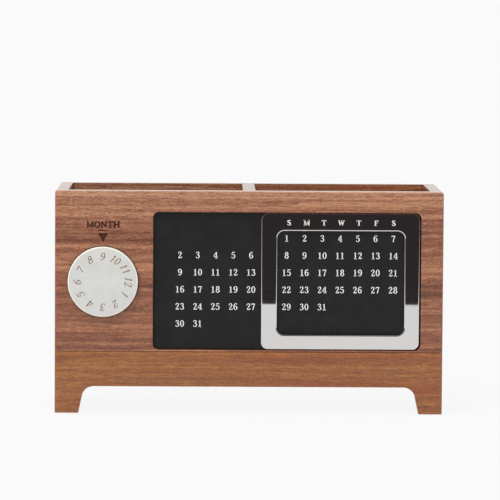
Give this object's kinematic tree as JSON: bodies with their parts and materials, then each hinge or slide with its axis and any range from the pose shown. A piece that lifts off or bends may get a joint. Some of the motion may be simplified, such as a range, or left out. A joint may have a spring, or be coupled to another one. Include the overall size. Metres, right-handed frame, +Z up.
{
  "type": "desk calendar with drawer",
  "caption": "Wooden desk organiser with open pen wells, a perpetual calendar front with a sliding weekday frame and a month dial, and a shallow drawer below.",
  "frame": {"origin": "middle of the bounding box's underside, where the felt pads meet the desk", "axes": "+X to the right as the user sees the front, +Y from the front to the back, +Z up"},
  "size_m": [0.225, 0.089, 0.13],
  "materials": {
    "walnut_front": "oiled veneer, satin",
    "walnut_case": "oiled, satin",
    "walnut_drawer_front": "oiled veneer, satin",
    "drawer_box_wood": "sanded, bare",
    "base_board_wood": "sanded, bare",
    "beech_dowel": "bare",
    "black_steel": "matt powder coat",
    "polished_steel": "mirror polished",
    "magnet_nickel": "plated",
    "dial_white": "satin paint",
    "spindle_steel": "turned",
    "bush_brass": "turned",
    "washer_nylon": "moulded",
    "clip_steel": "spring steel",
    "dial_felt": "felt",
    "foot_felt": "felt"
  },
  "bodies": {
    "case": {"front_panel": "walnut_front", "left_side_panel": "walnut_case", "right_side_panel": "walnut_case", "back_panel": "walnut_case", "centre_divider": "walnut_case", "compartment_floor": "walnut_case", "drawer_base": "base_board_wood", "foot_pads": "foot_felt", "front_panel_dowels": "beech_dowel", "back_panel_dowels": "beech_dowel", "date_plate": "black_steel", "dial_bush": "bush_brass"},
    "drawer": {"drawer_front": "walnut_drawer_front", "drawer_left_side": "drawer_box_wood", "drawer_right_side": "drawer_box_wood", "drawer_back": "drawer_box_wood", "drawer_bottom": "drawer_box_wood", "drawer_dowels": "beech_dowel"},
    "slider": {"weekday_slider": "polished_steel", "slider_magnets": "magnet_nickel"},
    "dial": {"month_dial": "dial_white", "dial_spindle": "spindle_steel", "dial_felt_washer": "dial_felt", "thrust_washer": "washer_nylon", "spindle_clip": "clip_steel"}
  },
  "joints": [
    {"name": "drawer_slide", "type": "slide", "parent": "case", "child": "drawer", "axis": [0, -1, 0], "range_m": [0, 0.05]},
    {"name": "weekday_slide", "type": "slide", "parent": "case", "child": "slider", "axis": [-1, 0, 0], "range_m": [0, 0.0618]},
    {"name": "month_dial_turn", "type": "hinge", "parent": "case", "child": "dial", "pos_m": [-0.0846, -0.0411, 0.0774], "axis": [0, -1, 0], "continuous": true}
  ]
}
